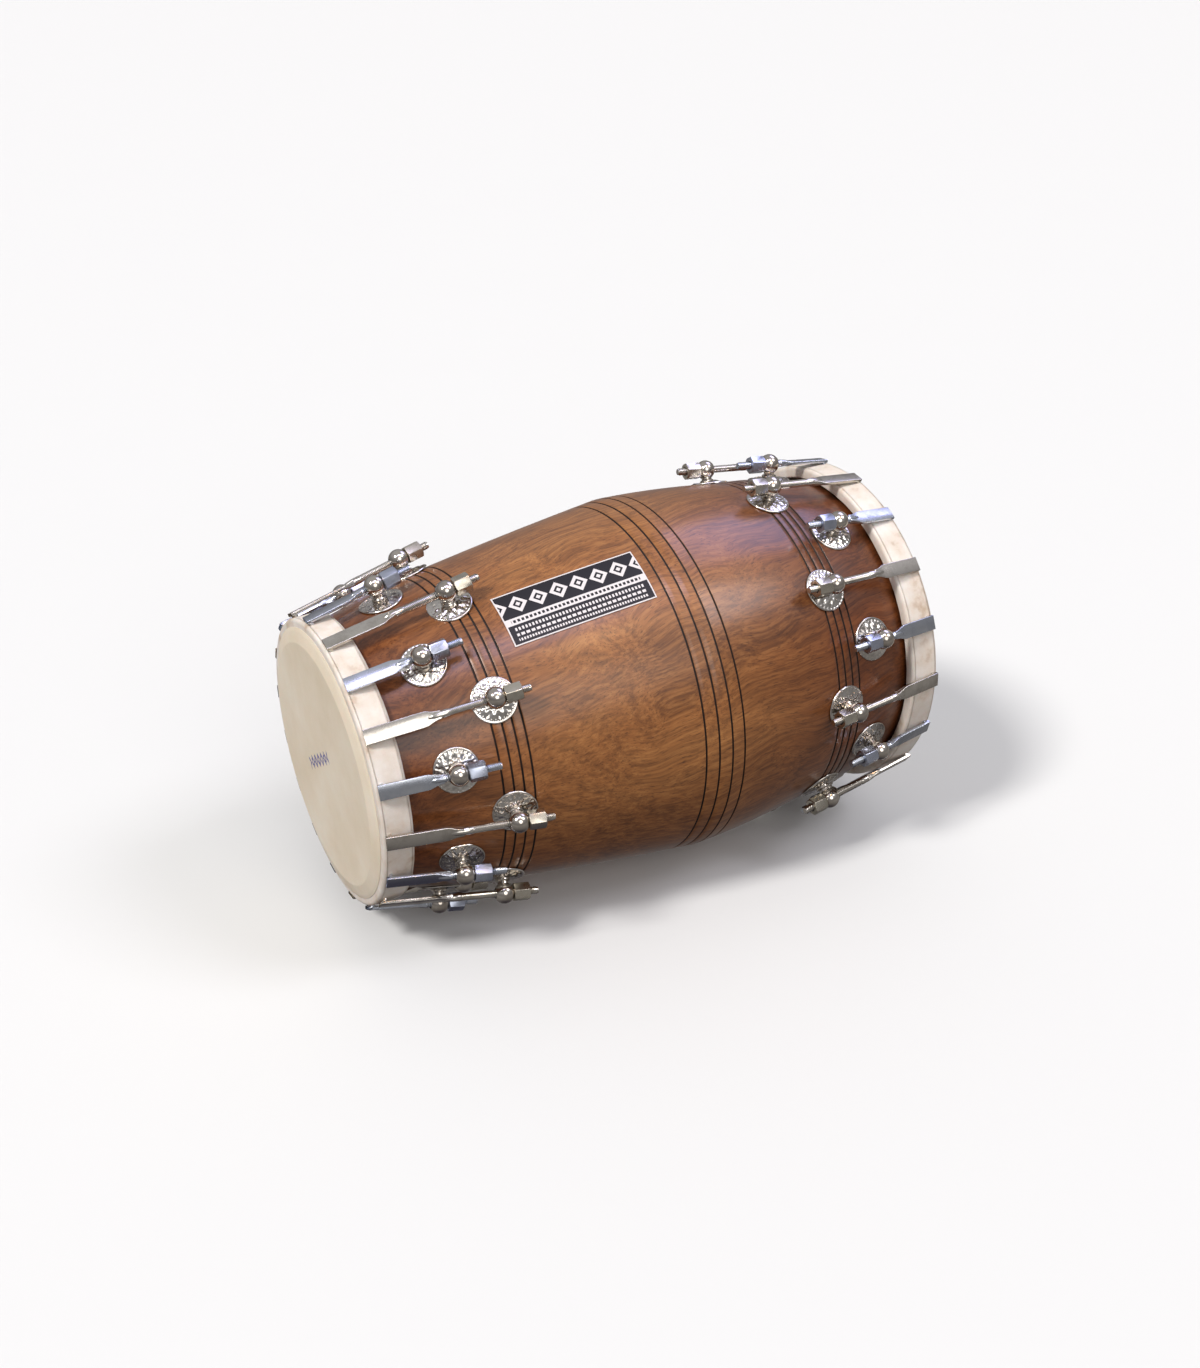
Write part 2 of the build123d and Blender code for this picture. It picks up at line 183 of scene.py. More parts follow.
def rounded(points, corner, radius, segments=6):
    """Replace one corner of a (place, radius) outline by an arc of that radius."""
    before, here, after = (Vector(points[corner + shift]) for shift in (-1, 0, 1))
    into = (before - here).normalized()
    out = (after - here).normalized()
    half = into.angle(out) / 2
    centre = here + (into + out).normalized() * radius / sin(half)
    first = here + into * radius * cos(half) / sin(half)
    last = here + out * radius * cos(half) / sin(half)
    arc = []
    for step in range(segments + 1):
        towards = (first - centre).lerp(last - centre, step / segments).normalized()
        arc.append(tuple(centre + towards * radius))
    return points[:corner] + arc + points[corner + 1:]


# %% [markdown]
# ## Where the hardware stands
# Each tuning nut turns on a joint of the frame. The joint's place is the middle of the eye
# bolt's ball and its axis is the rod, so the joints say where every hook, bolt, rosette and nut
# belongs. A piece is modelled once with its ball at the origin, its rod along X and its bolt
# along Z, and a copy is then carried to each place.

# %% Places from the joints
DRUM_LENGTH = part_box("bass_skin")[1].x


class Hook:
    """One hook's place: which end and row it belongs to, and the matrix of its ball."""

    def __init__(self, joint):
        self.end, _, number = joint["name"].partition("_nut_turn_")
        self.number = int(number)
        self.kind = "long" if self.number % 2 else "short"
        self.node = f"{self.end}_nut_{number}"
        self.body = joint["child"]
        centre = Vector(joint["pos_m"])
        rod = Vector(joint["axis"]).normalized()
        out = Vector((0, centre.y, centre.z)).normalized()
        bolt = (out - rod * out.dot(rod)).normalized()
        side = bolt.cross(rod)
        self.slope = atan2(out.dot(rod), abs(rod.x))
        self.depth = centre.x if self.end == "treble" else DRUM_LENGTH - centre.x
        turn = Matrix((rod, side, bolt)).transposed().to_4x4()
        self.matrix = Matrix.Translation(centre) @ turn


hooks = [Hook(joint) for joint in frame["joints"] if "_nut_turn_" in joint["name"]]
rows = {}
for hook in hooks:
    rows.setdefault((hook.end, hook.kind), []).append(hook)
print({row: len(members) for row, members in rows.items()})


# %% Copies of a pattern
def copies(piece, places, name):
    """Copies of a piece, each with its own mesh, carried to the places and joined."""
    made = []
    for place in places:
        choose([piece])
        bpy.ops.object.duplicate()
        made.append(bpy.context.active_object)
        settle(made[-1], place)
    choose(made)
    bpy.ops.object.join()
    return named(name)


def discard(piece):
    choose([piece])
    bpy.ops.object.delete()


# %% [markdown]
# ## Helpers for materials
# Colours are written as sRGB hex values, as a paint chart gives them, and one function turns
# them into the linear numbers that the shader works in. One function adds a node.

# %% Colours and nodes
# Sockets of a colour Mix node, which repeats their names for each kind of value
FACTOR, UNDER, OVER, MIXED = 0, 6, 7, 2


def linear(hex_value):
    """Linear RGBA of an sRGB hex colour."""
    def channel(value):
        return value / 12.92 if value <= 0.04045 else ((value + 0.055) / 1.055) ** 2.4

    numbers = [int(hex_value[place:place + 2], 16) / 255 for place in (1, 3, 5)]
    return (*(channel(number) for number in numbers), 1)


def feed(tree, node, inputs):
    """Set a node's inputs, or link those whose value is another node's socket."""
    for key, value in inputs.items():
        if isinstance(value, bpy.types.NodeSocket):
            tree.links.new(value, node.inputs[key])
        else:
            node.inputs[key].default_value = value


def add_node(tree, kind, inputs=None, **settings):
    """Add a shader node of a kind, with its properties and its inputs."""
    made = tree.nodes.new("ShaderNode" + kind)
    for key, value in settings.items():
        setattr(made, key, value)
    feed(tree, made, inputs or {})
    return made


def set_ramp(ramp, stops):
    """Give a colour ramp its (place, hex colour) stops."""
    elements = ramp.color_ramp.elements
    while len(elements) > len(stops):
        elements.remove(elements[-1])
    while len(elements) < len(stops):
        elements.new(1)
    for element, (place, colour) in zip(elements, stops):
        element.position = place
        element.color = linear(colour)


def new_material(name):
    """A material with an empty Principled shader, and the shader's node."""
    material = bpy.data.materials.new(name)
    material.use_nodes = True
    return material, material.node_tree, material.node_tree.nodes["Principled BSDF"]


def give(piece, material):
    piece.data.materials.clear()
    piece.data.materials.append(material)


# %% [markdown]
# ## The shell's material: varnished sheesham
# The barrel is turned from one log of an Indian rosewood, with the grain along its axis, and
# then varnished until it shines. Because the barrel bulges, its surface cuts the log's rings at
# a low angle, and that draws long flames and loops at the belly. So the pattern is made in three
# dimensions, as real wood is: rings round a leaning pith, cut by whatever surface the piece has.

# %% Sizes of the grain
RING_SPACING = 11 * MM
# Each is the length of a feature along the drum, and its width across
FIGURE_SIZE = (300 * MM, 70 * MM)
LINE_SIZE = (70 * MM, 2.6 * MM)
PORE_SIZE = (9 * MM, 0.8 * MM)
PITH_PLACE = (0.0, 30 * MM, 60 * MM)
PITH_LEAN = (0, radians(4), radians(-5))
DRIFT_SIZE = 111 * MM
DRIFT = (0.0, 60 * MM, 60 * MM)
RING_STRETCH = 0.12


def grain_noise(place, size, detail):
    """Noise whose features are long along the drum and thin across it."""
    stretched = add_node(tree, "Mapping", {
        "Vector": place, "Scale": (1 / size[0], 1 / size[1], 1 / size[1])})
    return add_node(tree, "TexNoise", {
        "Vector": stretched.outputs[0], "Scale": 1.0, "Detail": detail,
        "Roughness": 0.6}).outputs["Fac"]


sheesham, tree, shader = new_material("varnished_sheesham")
place = add_node(tree, "TexCoord").outputs["Object"]
leaning = add_node(tree, "Mapping", {
    "Vector": place, "Location": PITH_PLACE, "Rotation": PITH_LEAN})
drift = add_node(tree, "TexNoise", {
    "Vector": leaning.outputs[0], "Scale": 1 / DRIFT_SIZE, "Detail": 2.0, "Roughness": 0.45})
drift_centred = add_node(tree, "VectorMath", {
    0: drift.outputs["Color"], 1: (0.5, 0.5, 0.5)}, operation="SUBTRACT")
drifted = add_node(tree, "VectorMath", {
    0: drift_centred.outputs[0], 1: DRIFT, 2: leaning.outputs[0]},
    operation="MULTIPLY_ADD").outputs[0]

# %% Rings, figure and lines
stretched_rings = add_node(tree, "Mapping", {"Vector": drifted, "Scale": (RING_STRETCH, 1, 1)})
# A ring wave of this scale repeats once in every ring's width
rings = add_node(tree, "TexWave", {
    "Vector": stretched_rings.outputs[0], "Scale": pi / (10 * RING_SPACING), "Distortion": 2.0,
    "Detail": 2.0, "Detail Scale": 1.2, "Detail Roughness": 0.5},
    wave_type="RINGS", rings_direction="X", wave_profile="SIN")
ring_colour = add_node(tree, "ValToRGB", {0: rings.outputs["Fac"]})
set_ramp(ring_colour, [(0.0, "#9B6133"), (0.55, "#8A552B"), (1.0, "#6F4121")])
figure_colour = add_node(tree, "ValToRGB", {0: grain_noise(drifted, FIGURE_SIZE, 3.0)})
set_ramp(figure_colour, [(0.32, "#5F3B21"), (0.5, "#915D33"), (0.68, "#B17B48")])
line_colour = add_node(tree, "ValToRGB", {0: grain_noise(drifted, LINE_SIZE, 4.0)})
set_ramp(line_colour, [(0.36, "#472A18"), (0.5, "#8E5B30"), (0.64, "#B57E49")])
base = add_node(tree, "Mix", {
    FACTOR: 0.55, UNDER: ring_colour.outputs[0], OVER: figure_colour.outputs[0]},
    data_type="RGBA")
lined = add_node(tree, "Mix", {
    FACTOR: 0.4, UNDER: base.outputs[MIXED], OVER: line_colour.outputs[0]}, data_type="RGBA")

# %% Pores, and darker, redder wood towards both ends
pores = grain_noise(drifted, PORE_SIZE, 2.0)
pore_mask = add_node(tree, "MapRange", {
    "Value": pores, "From Min": 0.55, "From Max": 0.7, "To Max": 0.75})
pored = add_node(tree, "Mix", {
    FACTOR: pore_mask.outputs[0], UNDER: lined.outputs[MIXED], OVER: linear("#46291A")},
    data_type="RGBA")
grain_bump = add_node(tree, "Bump", {"Height": pores, "Strength": 0.12, "Distance": 0.2 * MM})
# The palest place lies a little nearer to the treble end
along = add_node(tree, "SeparateXYZ", {0: place}).outputs["X"]
from_middle = add_node(tree, "Math", {
    0: along, 1: 0.45 * DRUM_LENGTH}, operation="SUBTRACT").outputs[0]
away = add_node(tree, "Math", {0: from_middle}, operation="ABSOLUTE").outputs[0]
end_share = add_node(tree, "MapRange", {
    "Value": away, "From Min": 60 * MM, "From Max": 190 * MM, "To Max": 0.8})
# The wood is multiplied darker and redder towards both ends
darker_towards_ends = add_node(tree, "Mix", {
    FACTOR: end_share.outputs[0], UNDER: pored.outputs[MIXED], OVER: linear("#A98379")},
    data_type="RGBA", blend_type="MULTIPLY")
feed(tree, shader, {
    "Base Color": darker_towards_ends.outputs[MIXED], "Normal": grain_bump.outputs[0],
    "Roughness": 0.36, "IOR": 1.42, "Coat Weight": 0.5, "Coat Roughness": 0.2, "Coat IOR": 1.4})

# %% [markdown]
# ## The grooves' painted shade
# The turned grooves get a second material, blotchy, matt and nearly black. It is painted shade,
# darker than the shallow grooves' own shade would be.

# %% Painted groove shade
GROOVE_SHADE_BLOTCH_SIZE = 16.7 * MM
groove_shade_paint, tree, shader = new_material("painted_groove_shade")
place = add_node(tree, "TexCoord").outputs["Object"]
shade_blotches = add_node(tree, "TexNoise", {"Vector": place, "Scale": 1 / GROOVE_SHADE_BLOTCH_SIZE, "Detail": 3.0})
colour = add_node(tree, "ValToRGB", {0: shade_blotches.outputs["Fac"]})
# Nearly black blotches: painted shade for the grooves
set_ramp(colour, [(0.35, "#160D08"), (0.7, "#2E1B10")])
feed(tree, shader, {"Base Color": colour.outputs[0], "Roughness": 0.6})

# %% [markdown]
# ## The shell
# The outline is four arcs, with three bands of four thin grooves that the turner cut with a
# parting tool. It is drawn outside and inside as one closed line, so spinning it gives a true
# hollow barrel, and each groove is cut into the line rather than into the finished wood.

# %% The shell's outline
TREBLE_RIM_RADIUS = 97.5 * MM
BASS_RIM_RADIUS = 115.5 * MM
SHELL_WALL = 14 * MM
HIDE_THICKNESS = 1.4 * MM
GROOVE_WIDTH = 1.5 * MM
GROOVE_DEPTH = 1.3 * MM
GROOVES_PER_BAND = 4
# How far the cut goes across, in groove widths, and how deep it is there, in groove depths
HALF_PROFILE = ((0.62, 0), (0.5, 0.12), (0.32, 0.8), (0.12, 1))
OUTSIDE_STEPS = 80
INSIDE_STEPS = 24
RIM_ROUNDING = 4 * MM
# Each arc runs from one (place, radius) through the next to the third
BASS = DRUM_LENGTH
OUTLINE_ARCS = (
    ((0, TREBLE_RIM_RADIUS), (60 * MM, 115.3 * MM), (119 * MM, 127 * MM)),
    ((119 * MM, 127 * MM), (200 * MM, 138.6 * MM), (276.5 * MM, 148 * MM)),
    ((276.5 * MM, 148 * MM), (BASS - 147 * MM, 144.2 * MM), (BASS - 100 * MM, 138 * MM)),
    ((BASS - 100 * MM, 138 * MM), (BASS - 46 * MM, 130.4 * MM), (BASS, BASS_RIM_RADIUS)),
)
# Each band: place of its first groove and distance to its last
GROOVE_BANDS = ((96 * MM, 23 * MM), (254.5 * MM, 33 * MM), (BASS - 100 * MM, 20.5 * MM))


def arc_radius(arc, along):
    """Radius of the circle through an arc's three points, at a place along the drum."""
    (x1, y1), (x2, y2), (x3, y3) = arc
    cross = 2 * (x1 * (y2 - y3) + x2 * (y3 - y1) + x3 * (y1 - y2))
    s1, s2, s3 = x1**2 + y1**2, x2**2 + y2**2, x3**2 + y3**2
    x = (s1 * (y2 - y3) + s2 * (y3 - y1) + s3 * (y1 - y2)) / cross
    y = (s1 * (x3 - x2) + s2 * (x1 - x3) + s3 * (x2 - x1)) / cross
    return y + sqrt((x1 - x)**2 + (y1 - y)**2 - (along - x)**2) * (1 if y2 > y else -1)


def shell_radius(along):
    """The barrel's outer radius at a place along the drum, without its grooves."""
    arc = next((arc for arc in OUTLINE_ARCS if arc[2][0] >= along), OUTLINE_ARCS[-1])
    return arc_radius(arc, along)


def shell_outline():
    """The closed outline of the wall, with its grooves and its rounded rims."""
    grooves = [first + width * step / (GROOVES_PER_BAND - 1)
               for first, width in GROOVE_BANDS for step in range(GROOVES_PER_BAND)]
    first, last = HIDE_THICKNESS, DRUM_LENGTH - HIDE_THICKNESS
    outside = []
    for step in range(1, OUTSIDE_STEPS):
        along = first + (last - first) * step / OUTSIDE_STEPS
        if min(abs(along - groove) for groove in grooves) > 1.2 * GROOVE_WIDTH:
            outside.append((along, shell_radius(along)))
    for groove in grooves:
        for shift, depth in HALF_PROFILE:
            for along in (groove - shift * GROOVE_WIDTH, groove + shift * GROOVE_WIDTH):
                outside.append((along, shell_radius(along) - depth * GROOVE_DEPTH))
    outside.sort()
    back = [last + (first - last) * step / INSIDE_STEPS for step in range(INSIDE_STEPS + 1)]
    inside = [(along, shell_radius(along) - SHELL_WALL) for along in back]
    points = [inside[-1], (first, shell_radius(first)), *outside,
              (last, shell_radius(last)), *inside]
    points = rounded(points, len(outside) + 2, RIM_ROUNDING)
    return rounded(points, 1, RIM_ROUNDING)


# %% Turned shell
LEAST_GROOVE = 0.3 * MM
RIM_ZONE = 50 * MM

shell = turned("turned_shell", shell_outline(), 192)
smooth_by_angle(shell, 40)
give(shell, sheesham)
# The second material is painted shade, given to the faces in the grooves
shell.data.materials.append(groove_shade_paint)
for face in shell.data.polygons:
    centre = face.center
    depth = shell_radius(centre.x) - sqrt(centre.y**2 + centre.z**2)
    in_groove = LEAST_GROOVE < depth < 2 * GROOVE_DEPTH
    if in_groove and RIM_ZONE < centre.x < DRUM_LENGTH - RIM_ZONE:
        face.material_index = 1
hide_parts("shell")
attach(shell, "shell")
print("shell", len(shell.data.polygons), "faces")

# %% [markdown]
# ## The hides
# Goat hide is scraped, soaked, lapped over the hoop and dried tight. The playing face is a flat,
# matt parchment. It turns down over the wooden rim and is tucked under the hoop. The fold behind
# it is the collar, with blotches, creases and an uneven cut edge. The maker stamps the treble
# face in blue ink. Here the stamp is a row of lozenges.

# %% Printed shapes
def overlap(tree, *masks):
    """1 where all of the masks are 1."""
    result = masks[0]
    for mask in masks[1:]:
        result = add_node(tree, "Math", {0: result, 1: mask}, operation="MULTIPLY").outputs[0]
    return result


def between(tree, value, low, high):
    """1 where a value lies between two others."""
    return add_node(tree, "Math", {
        0: value, 1: (low + high) / 2, 2: (high - low) / 2}, operation="COMPARE").outputs[0]


def lozenges(tree, along, across, pitch, height):
    """A field over a row of lozenges: 0 in the middle of each one and 1 along its edges."""
    shares = []
    for value, fold, half in ((along, "PINGPONG", pitch / 2), (across, "ABSOLUTE", height / 2)):
        folded = add_node(tree, "Math", {0: value, 1: half}, operation=fold)
        shares.append(add_node(tree, "Math", {0: folded.outputs[0], 1: half},
                               operation="DIVIDE").outputs[0])
    return add_node(tree, "Math", dict(enumerate(shares)), operation="ADD").outputs[0]


# %% Ink stamp
STAMP_CENTRE = (0, 8 * MM, 0)
STAMP_SIZE = (57 * MM, 12 * MM)
STAMP_PITCH = 9.5 * MM
STAMP_TURN = radians(-30.7)
STAMP_RING = (0.34, 0.98)
WEAR_SIZE = 2.38 * MM


def stamped(tree, place, under):
    """A row of ink lozenges, uneven as a rubber stamp leaves them, over the hide's colour."""
    moved = add_node(tree, "VectorMath", {0: place, 1: STAMP_CENTRE},
                     operation="SUBTRACT").outputs[0]
    along, across = (
        add_node(tree, "VectorMath", {0: moved, 1: direction},
                 operation="DOT_PRODUCT").outputs["Value"]
        for direction in ((0, cos(STAMP_TURN), sin(STAMP_TURN)),
                          (0, -sin(STAMP_TURN), cos(STAMP_TURN))))
    wear = add_node(tree, "TexNoise", {"Vector": place, "Scale": 1 / WEAR_SIZE, "Detail": 2.0})
    worn = add_node(tree, "MapRange", {
        "Value": wear.outputs["Fac"], "From Min": 0.35, "From Max": 0.55,
        "To Min": 0.35, "To Max": 0.95})
    field = lozenges(tree, along, across, STAMP_PITCH, STAMP_SIZE[1])
    half_length = STAMP_SIZE[0] / 2
    ink = overlap(tree, between(tree, field, *STAMP_RING),
                  between(tree, along, -half_length, half_length), worn.outputs[0])
    return add_node(tree, "Mix", {FACTOR: ink, UNDER: under, OVER: linear("#3B439A")},
                    data_type="RGBA").outputs[MIXED]


# %% Goat hide
FOLLICLE_SPACING = 1.1 * MM
CREASE_SIZE = 3.85 * MM


def hide_material(name, palette, blotch_size, ink=False):
    """Scraped goat hide: pale, matt, with soft blotches, pores and faint creases."""
    material, tree, shader = new_material(name)
    place = add_node(tree, "TexCoord").outputs["Object"]
    blotches = add_node(tree, "TexNoise", {
        "Vector": place, "Scale": 1 / blotch_size, "Detail": 4.0, "Roughness": 0.6})
    colour = add_node(tree, "ValToRGB", {0: blotches.outputs["Fac"]})
    set_ramp(colour, palette)
    follicles = add_node(tree, "TexVoronoi", {"Vector": place, "Scale": 1 / FOLLICLE_SPACING})
    speckle = add_node(tree, "MapRange", {
        "Value": follicles.outputs["Distance"], "From Min": 0.0, "From Max": 0.25,
        "To Min": 0.86, "To Max": 1.0})
    speckled = add_node(tree, "Mix", {
        FACTOR: 1.0, UNDER: colour.outputs[0], OVER: speckle.outputs[0]}, data_type="RGBA",
        blend_type="MULTIPLY")
    creases = add_node(tree, "TexNoise", {
        "Vector": place, "Scale": 1 / CREASE_SIZE, "Detail": 5.0, "Roughness": 0.65})
    bump = add_node(tree, "Bump", {
        "Height": creases.outputs["Fac"], "Strength": 0.25, "Distance": 0.5 * MM})
    final = speckled.outputs[MIXED]
    if ink:
        final = stamped(tree, place, final)
    feed(tree, shader, {
        "Base Color": final, "Normal": bump.outputs[0], "Roughness": 0.62, "IOR": 1.45,
        "Subsurface Weight": 0.08, "Subsurface Scale": 1.2 * MM})
    return material


# %% Three kinds of hide
FACE_TONES = [(0.3, "#E3D5BE"), (0.5, "#EADDC9"), (0.7, "#EFE5D4")]
FOLD_TONES = [(0.28, "#C4AE98"), (0.4, "#DDD0C3"), (0.6, "#E8E0D8"), (0.75, "#EFE9E4")]
face_hide = hide_material("scraped_goat_hide", FACE_TONES, 60 * MM)
stamped_hide = hide_material("scraped_goat_hide_stamped", FACE_TONES, 60 * MM, ink=True)
folded_hide = hide_material("folded_goat_hide", FOLD_TONES, 22 * MM)

# %% [markdown]
# ## The playing hides
# Each hide is turned as one thin piece: flat over the rim, then bent down to the hoop. Its
# middle would stay with the shell while its edge rides down with the hoop as the hooks are drawn;
# here the piece rides on neither body.

# %% Playing hides
HIDE_SLOPE_DROP = 2.2 * MM
COLLAR_LIP = 9 * MM
HOOK_SET_BACK = 1 * MM
STRIP_THICKNESS = 2.6 * MM
COLLAR_TOP = HOOK_SET_BACK + STRIP_THICKNESS
FOLD_THICKNESS = 2 * MM


def from_end(end, outline):
    """An outline drawn from the treble face, or the same from the bass face."""
    if end == "treble":
        return outline
    return [(DRUM_LENGTH - along, radius) for along, radius in outline]


def hide(end, rim_radius, material):
    collar_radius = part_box(f"{end}_collar")[1].z
    flat = rim_radius - 1.2 * MM
    edge = collar_radius - COLLAR_LIP
    outline = [
        (0, 0), (0, 0.25 * flat), (0, 0.5 * flat), (0, 0.75 * flat), (0, flat),
        (HIDE_SLOPE_DROP, edge), (COLLAR_TOP - 0.4 * MM, edge + 2.5 * MM),
        (COLLAR_TOP - 0.05 * MM, edge + 2.5 * MM), (COLLAR_TOP - 0.05 * MM, edge - 0.8 * MM),
        (HIDE_THICKNESS, flat), (HIDE_THICKNESS, 0.5 * flat), (HIDE_THICKNESS, 0),
    ]
    outline = rounded(outline, 5, 6 * MM)
    outline = rounded(outline, 4, 5 * MM)
    piece = turned(f"{end}_playing_hide", from_end(end, outline), 144)
    smooth_by_angle(piece, 50)
    give(piece, material)
    start, finish = (0.3 * MM, 0, 0), (COLLAR_TOP - 0.6 * MM, 0, 0)
    if end == "bass":
        start, finish = (DRUM_LENGTH - start[0], 0, 0), (DRUM_LENGTH - finish[0], 0, 0)
    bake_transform(piece)
    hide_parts(f"{end}_skin")
    print(piece.name, len(piece.data.polygons), "faces")


hide("treble", TREBLE_RIM_RADIUS, stamped_hide)
hide("bass", BASS_RIM_RADIUS, face_hide)

# %% [markdown]
# ## The folded collars
# The rest of the hide is folded back over its hoop and down the shell. A turned fold alone would
# look machined, so the cut edge is pushed along the drum by a cloud texture. Its strength grows
# from nothing at the collar's middle to its full size at the edge.


# %% Folded collars
def hem_group(piece, end, bottom):
    """A vertex group that grows from the collar's middle to its cut edge."""
    group = piece.vertex_groups.new(name="hem")
    for vertex in piece.data.vertices:
        depth = vertex.co.x if end == "treble" else DRUM_LENGTH - vertex.co.x
        weight = (depth / bottom - 0.5) * 2
        group.add([vertex.index], max(0, min(1, weight)), "REPLACE")
    return group.name


def collar(end):
    low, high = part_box(f"{end}_collar")
    outer = high.z
    bottom = high.x if end == "treble" else DRUM_LENGTH - low.x
    lip = outer - COLLAR_LIP
    hem = shell_radius(bottom if end == "treble" else DRUM_LENGTH - bottom) + 2.2 * MM
    under_hoop = COLLAR_TOP + FOLD_THICKNESS + 7 * MM
    wall = [(COLLAR_TOP + (bottom - COLLAR_TOP) * step / 12, outer) for step in range(1, 12)]
    outline = [
        (COLLAR_TOP, lip), (COLLAR_TOP, outer), *wall, (bottom, outer), (bottom, hem),
        (under_hoop, lip), (under_hoop, outer - FOLD_THICKNESS),
        (COLLAR_TOP + FOLD_THICKNESS, outer - FOLD_THICKNESS), (COLLAR_TOP + FOLD_THICKNESS, lip),
        (COLLAR_TOP, lip)]
    outline = rounded(outline, len(wall) + 3, 1.6 * MM, 4)
    outline = rounded(outline, len(wall) + 2, 3 * MM, 5)
    outline = rounded(outline, 1, 3 * MM, 5)
    piece = turned(f"{end}_folded_collar", from_end(end, outline), 216)
    give(piece, folded_hide)
    lumps = bpy.data.textures.new(f"{end}_lumps", "CLOUDS")
    lumps.noise_scale = 16 * MM
    apply_modifier(piece, "DISPLACE", texture=lumps, texture_coords="LOCAL", direction="X",
                   strength=0.9 * MM, mid_level=0.5, vertex_group=hem_group(piece, end, bottom))
    smooth_by_angle(piece, 50)
    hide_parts(f"{end}_collar")
    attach(piece, f"{end}_tension")
    print(piece.name, len(piece.data.polygons), "faces")


collar("treble")
collar("bass")

# %% [markdown]
# ## Plated steel
# The short hooks and their nuts are zinc plated, which is cool and slightly blue. The long ones,
# the eye bolts and the rosettes are nickel plated, which is warmer. Plating keeps the fine
# scratches of the wire and strip below it, and they spread each highlight a little. Real ones
# are too fine to show, so they are drawn coarser.

# %% Plating
CLOUD_SIZE = 14.3 * MM
SCRATCH_SIZE = (8.3 * MM, 0.385 * MM)


def plating(name, light, dark, roughness, scratch=0.04):
    """Plated steel whose tone and shine vary in clouds, with fine scratches along the drum."""
    material, tree, shader = new_material(name)
    place = add_node(tree, "TexCoord").outputs["Object"]
    clouds = add_node(tree, "TexNoise", {
        "Vector": place, "Scale": 1 / CLOUD_SIZE, "Detail": 5.0, "Roughness": 0.6})
    colour = add_node(tree, "ValToRGB", {0: clouds.outputs["Fac"]})
    set_ramp(colour, [(0.3, dark), (0.62, light)])
    rough = add_node(tree, "MapRange", {
        "Value": clouds.outputs["Fac"], "From Min": 0.3, "From Max": 0.7,
        "To Min": roughness * 1.5, "To Max": roughness * 0.7})
    scratches = add_node(tree, "Mapping", {
        "Vector": place,
        "Scale": (1 / SCRATCH_SIZE[0], 1 / SCRATCH_SIZE[1], 1 / SCRATCH_SIZE[1])})
    lines = add_node(tree, "TexNoise", {
        "Vector": scratches.outputs[0], "Scale": 1.0, "Detail": 3.0})
    bump = add_node(tree, "Bump", {
        "Height": lines.outputs["Fac"], "Strength": scratch, "Distance": 0.03 * MM})
    feed(tree, shader, {"Base Color": colour.outputs[0], "Roughness": rough.outputs[0],
                        "Normal": bump.outputs[0], "Metallic": 1.0})
    return material


zinc = plating("bright_zinc_plating", "#CDD2DB", "#B0B6C1", 0.2)
nickel = plating("bright_nickel_plating", "#D8D3CB", "#B4AEA5", 0.17)
polished_nickel = plating("polished_nickel_plating", "#CFC8BF", "#ABA298", 0.13)
stamped_nickel = plating("stamped_nickel_plating", "#E0DCD6", "#A9A39B", 0.16)
zinc_nut = plating("zinc_plated_nut", "#C4CADB", "#A2A9B8", 0.26)
nickel_nut = plating("nickel_plated_nut", "#CFC9BC", "#A8A294", 0.24)
mill_steel = plating("mill_finish_steel", "#9A9A9C", "#6E6C6A", 0.38, 0.2)
PLATING_OF = {"short": zinc, "long": nickel}
print("materials so far", len(bpy.data.materials))

# %% [markdown]
# ## The tension hooks
# A hook is a round rod whose end was forged into a flat strip and bent over the hoop. It is
# modelled as a bar: the strip is a box, its end is spun round the bend and extruded as the lip,
# and the other end is extruded and pinched until it runs into the round rod. The thread is a
# true screw, made from one tooth with the Screw modifier.

# %% Hook sizes
STRIP_WIDTH = 11.5 * MM
HOOK_LIP = 7 * MM
BEND_RADIUS = 3.4 * MM
TAPER_LENGTH = 13 * MM
# Width and thickness at equal steps of the taper
TAPER = ((11.1, 2.7), (9.2, 3.1), (7.5, 3.7), (6.6, 4.4), (6.0, 5.0))
ROD_RADIUS = 3.1 * MM
BARE_ROD = {"short": 2.8 * MM, "long": 32.8 * MM}
PLAIN_ROD = {"short": 1 * MM, "long": 6 * MM}
ROD_PAST_NUT = {"short": 11.5 * MM, "long": 7 * MM}
BALL_RADIUS = 8.2 * MM
BALL_SEAT_RADIUS = 5.3 * MM
EYE_HOLE_RADIUS = 3.9 * MM
BALL_SEAT = sqrt(BALL_RADIUS**2 - BALL_SEAT_RADIUS**2)
NUT_SEAT = BALL_SEAT + 0.35 * MM
NUT_LENGTH = 13 * MM
THREAD_PITCH = 1.27 * MM
THREAD_DEPTH = 0.38 * MM


# %% Screw thread
def threaded_rod(first, last):
    """A length of threaded rod along X, with a pointed end."""
    turns = int((last - first) / THREAD_PITCH) - 1
    root = ROD_RADIUS - THREAD_DEPTH
    half = THREAD_PITCH / 2
    draw_line([(first, 0, root), (first + half, 0, ROD_RADIUS), (first + 2 * half, 0, root)])
    bpy.ops.object.mode_set(mode="OBJECT")
    thread = named("thread")
    settle(thread)
    apply_modifier(thread, "SCREW", axis="X", screw_offset=THREAD_PITCH, iterations=turns,
                   steps=18, render_steps=18, use_merge_vertices=True, merge_threshold=1e-5)
    core = turned("core", [(first, 0), (first, root), (last - 1.2 * MM, root),
                           (last, root - THREAD_DEPTH / 2), (last, 0)], 18)
    choose([thread, core])
    bpy.ops.object.join()
    return thread


# %% Forged hook
def select_end(piece, side):
    """In edit mode, select only the face at one end of X."""
    mesh = bmesh.from_edit_mesh(piece.data)
    bpy.ops.mesh.select_all(action="DESELECT")
    bpy.ops.mesh.select_mode(type="FACE")
    mesh.faces.ensure_lookup_table()
    best = max(mesh.faces, key=lambda face: side * face.calc_center_median().x)
    best.select_set(True)
    mesh.select_flush(True)
    bmesh.update_edit_mesh(piece.data)


